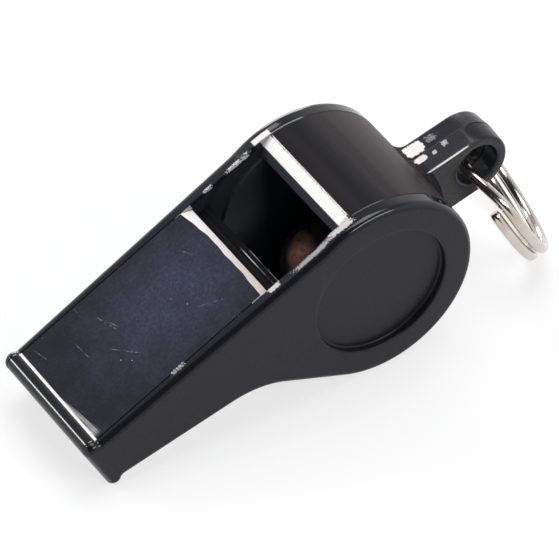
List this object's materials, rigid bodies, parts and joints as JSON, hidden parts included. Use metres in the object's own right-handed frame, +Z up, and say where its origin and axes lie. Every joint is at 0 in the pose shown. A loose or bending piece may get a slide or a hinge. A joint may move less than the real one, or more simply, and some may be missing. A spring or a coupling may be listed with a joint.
{
  "type": "sports whistle",
  "caption": "Moulded pea whistle: a tapered mouthpiece blows across a sound window into a round barrel with a loose cork pea, and a split ring hangs from a lanyard lug.",
  "frame": {"origin": "on the surface that the whistle stands on, under the middle of its box, ring included", "axes": "+X from the mouth towards the lanyard lug, +Y across to the left side plate, +Z up; the whistle stands on its barrel and on the bead under the mouth"},
  "size_m": [0.0626, 0.019, 0.023],
  "materials": {
    "black_plastic": "moulded gloss, lightly scuffed on the edges",
    "cork": "bare cork",
    "ring_wire": "bright nickel plate on spring wire"
  },
  "bodies": {
    "whistle": {"barrel_body": "black_plastic", "windway_roof": "black_plastic", "left_side_plate": "black_plastic", "right_side_plate": "black_plastic"},
    "pea": {"cork_pea": "cork"},
    "ring": {"split_ring": "ring_wire"}
  },
  "joints": [
    {"name": "pea_orbit", "type": "hinge", "parent": "whistle", "child": "pea", "pos_m": [0.00482, 0, 0.0115], "axis": [0, 1, 0], "continuous": true},
    {"name": "ring_swing", "type": "hinge", "parent": "whistle", "child": "ring", "pos_m": [0.02159, 0, 0.01576], "axis": [0, -1, 0], "range_deg": [-44, 194]}
  ]
}
